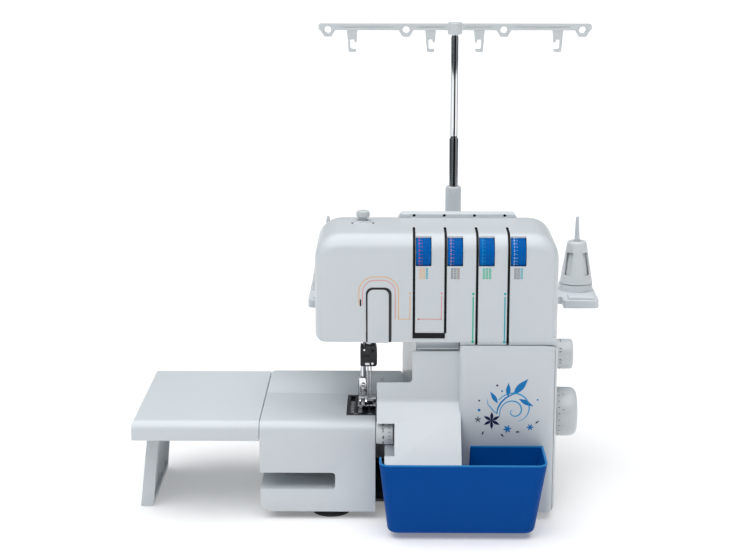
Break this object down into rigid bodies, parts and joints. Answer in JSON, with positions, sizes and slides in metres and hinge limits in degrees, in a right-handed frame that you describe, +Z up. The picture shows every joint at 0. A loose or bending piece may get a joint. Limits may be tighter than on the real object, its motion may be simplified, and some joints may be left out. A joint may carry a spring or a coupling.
{
  "type": "serger overlock machine",
  "caption": "Household overlock sewing machine with looper cover, tension dials, spool stand with telescoping thread tree, scrap bin and clip-on extension table with folding leg.",
  "frame": {"origin": "bottom centre of the bounding box, on the surface the machine stands on", "axes": "+X to the handwheel side, +Y to the back (spool stand), +Z up"},
  "size_m": [0.494, 0.332, 0.4905],
  "materials": {
    "white_shell": "satin moulded, bluish white",
    "white_knob": "smooth white plastic with printed marks",
    "blue_dial": "blue with fine ribs and numbers",
    "blue_bin": "deep blue, smooth",
    "black_plastic": "black",
    "rubber": "black rubber",
    "chrome": "polished",
    "steel": "bright machined steel",
    "dark_plate": "dark brushed",
    "cast_frame": "sand cast",
    "brass": "turned",
    "lamp_glass": "clear lamp"
  },
  "bodies": {
    "machine": {"base_plate": "black_plastic", "foot_front_left": "rubber", "foot_front_right": "rubber", "foot_back_left": "rubber", "foot_back_right": "rubber", "free_arm_bed": "white_shell", "rear_bed": "white_shell", "front_casing": "white_shell", "rear_casing": "white_shell", "guide_ridge": "white_shell", "take_up_cover": "white_shell", "machine_frame": "cast_frame", "shaft_bush_left": "brass", "shaft_bush_right": "brass", "drive_belt": "rubber", "motor": "steel", "needle_plate": "dark_plate", "fixed_knife": "steel", "sewing_lamp": "lamp_glass", "dial_axle": "steel", "power_inlet": "black_plastic", "spool_tray": "white_shell", "pole_socket": "white_shell", "lower_pole": "chrome", "lever_pin": "steel"},
    "drive_shaft": {"handwheel": "white_knob", "main_shaft": "steel", "belt_pulley": "black_plastic"},
    "motor_rotor": {"motor_pulley": "steel"},
    "needle_drive": {"needle_bar": "steel", "needle_clamp": "black_plastic", "needle_left": "steel", "needle_right": "steel"},
    "upper_looper_arm": {"upper_looper": "steel"},
    "lower_looper_arm": {"lower_looper": "steel"},
    "knife_drive": {"moving_knife": "steel"},
    "feed_drive": {"feed_dog": "steel"},
    "presser": {"presser_bar": "steel", "presser_foot": "steel"},
    "lifting_lever": {"presser_lever": "black_plastic"},
    "pressure_screw": {"pressure_knob": "white_knob"},
    "dial_left_needle": {"tension_dial_1": "blue_dial"},
    "dial_right_needle": {"tension_dial_2": "blue_dial"},
    "dial_upper_looper": {"tension_dial_3": "blue_dial"},
    "dial_lower_looper": {"tension_dial_4": "blue_dial"},
    "length_dial": {"stitch_length_dial": "white_knob"},
    "width_dial": {"stitch_width_dial": "white_knob"},
    "switch": {"power_switch": "black_plastic"},
    "cover": {"looper_cover": "white_shell", "cover_hinge_rod": "steel"},
    "bin": {"scrap_bin": "blue_bin"},
    "table": {"extension_table": "white_shell", "leg_pin": "steel"},
    "leg": {"table_leg": "white_shell"},
    "pole": {"upper_pole": "chrome"},
    "tree": {"thread_tree": "white_shell"},
    "cone_1": {"cone_holder_1": "white_knob"},
    "cone_2": {"cone_holder_2": "white_knob"},
    "cone_3": {"cone_holder_3": "white_knob"},
    "cone_4": {"cone_holder_4": "white_knob"}
  },
  "joints": [
    {"name": "handwheel_turn", "type": "hinge", "parent": "machine", "child": "drive_shaft", "pos_m": [0.2025, -0.012, 0.089], "axis": [1, 0, 0], "continuous": true},
    {"name": "motor_turn", "type": "hinge", "parent": "machine", "child": "motor_rotor", "pos_m": [0.1445, 0.04, 0.05], "axis": [1, 0, 0], "continuous": true},
    {"name": "needle_stroke", "type": "slide", "parent": "machine", "child": "needle_drive", "axis": [0, 0, -1], "range_m": [0, 0.022]},
    {"name": "upper_looper_swing", "type": "hinge", "parent": "machine", "child": "upper_looper_arm", "pos_m": [0.0165, -0.028, 0.052], "axis": [0, -1, 0], "range_deg": [0, 12]},
    {"name": "lower_looper_swing", "type": "hinge", "parent": "machine", "child": "lower_looper_arm", "pos_m": [-0.0255, -0.02, 0.046], "axis": [0, 1, 0], "range_deg": [0, 12]},
    {"name": "knife_stroke", "type": "slide", "parent": "machine", "child": "knife_drive", "axis": [0, 0, -1], "range_m": [0, 0.01]},
    {"name": "feed_stroke", "type": "slide", "parent": "machine", "child": "feed_drive", "axis": [0, 1, 0], "range_m": [0, 0.006]},
    {"name": "lever_lift", "type": "hinge", "parent": "machine", "child": "lifting_lever", "pos_m": [-0.0121, 0.002, 0.202], "axis": [1, 0, 0], "range_deg": [0, 18]},
    {"name": "presser_lift", "type": "slide", "parent": "machine", "child": "presser", "axis": [0, 0, 1], "range_m": [0, 0.0061]},
    {"name": "pressure_turn", "type": "hinge", "parent": "machine", "child": "pressure_screw", "pos_m": [-0.0121, -0.022, 0.2915], "axis": [0, 0, 1], "range_deg": [-180, 180]},
    {"name": "tension_1_turn", "type": "hinge", "parent": "machine", "child": "dial_left_needle", "pos_m": [0.0495, -0.0815, 0.277], "axis": [1, 0, 0], "range_deg": [-130, 170]},
    {"name": "tension_2_turn", "type": "hinge", "parent": "machine", "child": "dial_right_needle", "pos_m": [0.081, -0.0815, 0.277], "axis": [1, 0, 0], "range_deg": [-130, 170]},
    {"name": "tension_3_turn", "type": "hinge", "parent": "machine", "child": "dial_upper_looper", "pos_m": [0.1125, -0.0815, 0.277], "axis": [1, 0, 0], "range_deg": [-130, 170]},
    {"name": "tension_4_turn", "type": "hinge", "parent": "machine", "child": "dial_lower_looper", "pos_m": [0.144, -0.0815, 0.277], "axis": [1, 0, 0], "range_deg": [-130, 170]},
    {"name": "stitch_length_turn", "type": "hinge", "parent": "machine", "child": "length_dial", "pos_m": [0.1855, -0.012, 0.1525], "axis": [1, 0, 0], "range_deg": [-100, 100]},
    {"name": "stitch_width_turn", "type": "hinge", "parent": "machine", "child": "width_dial", "pos_m": [0.0023, -0.096, 0.092], "axis": [1, 0, 0], "range_deg": [-60, 60]},
    {"name": "switch_rock", "type": "hinge", "parent": "machine", "child": "switch", "pos_m": [0.1835, 0.024, 0.05], "axis": [0, 0, 1], "range_deg": [-8, 0]},
    {"name": "bin_slide", "type": "slide", "parent": "machine", "child": "bin", "axis": [0, -1, 0], "range_m": [0, 0.16]},
    {"name": "cover_tilt", "type": "hinge", "parent": "machine", "child": "cover", "pos_m": [0.0205, -0.096, 0.014], "axis": [1, 0, 0], "range_deg": [0, 50]},
    {"name": "table_slide", "type": "slide", "parent": "machine", "child": "table", "axis": [-1, 0, 0], "range_m": [0, 0.05]},
    {"name": "leg_fold", "type": "hinge", "parent": "table", "child": "leg", "pos_m": [-0.2285, -0.007, 0.0915], "axis": [0, -1, 0], "range_deg": [0, 95]},
    {"name": "pole_slide", "type": "slide", "parent": "machine", "child": "pole", "axis": [0, 0, -1], "range_m": [0, 0.1]},
    {"name": "tree_turn", "type": "hinge", "parent": "pole", "child": "tree", "pos_m": [0.0855, 0.11, 0.4855], "axis": [0, 0, 1], "range_deg": [-90, 90]},
    {"name": "cone_1_lift", "type": "slide", "parent": "machine", "child": "cone_1", "axis": [0, 0, 1], "range_m": [0, 0.08]},
    {"name": "cone_2_lift", "type": "slide", "parent": "machine", "child": "cone_2", "axis": [0, 0, 1], "range_m": [0, 0.08]},
    {"name": "cone_3_lift", "type": "slide", "parent": "machine", "child": "cone_3", "axis": [0, 0, 1], "range_m": [0, 0.08]},
    {"name": "cone_4_lift", "type": "slide", "parent": "machine", "child": "cone_4", "axis": [0, 0, 1], "range_m": [0, 0.08]}
  ],
  "couplings": [
    {"joint": "motor_turn", "follows": "handwheel_turn", "ratio": 3.3125},
    {"joint": "upper_looper_swing", "follows": "needle_stroke", "rad_per_m": 9.5},
    {"joint": "lower_looper_swing", "follows": "needle_stroke", "rad_per_m": 9.5},
    {"joint": "knife_stroke", "follows": "needle_stroke", "ratio": 0.45},
    {"joint": "feed_stroke", "follows": "needle_stroke", "ratio": 0.27},
    {"joint": "lever_lift", "follows": "presser_lift", "rad_per_m": 51.5},
    {"joint": "cover_tilt", "follows": "bin_slide", "rad_per_m": 5.45}
  ]
}
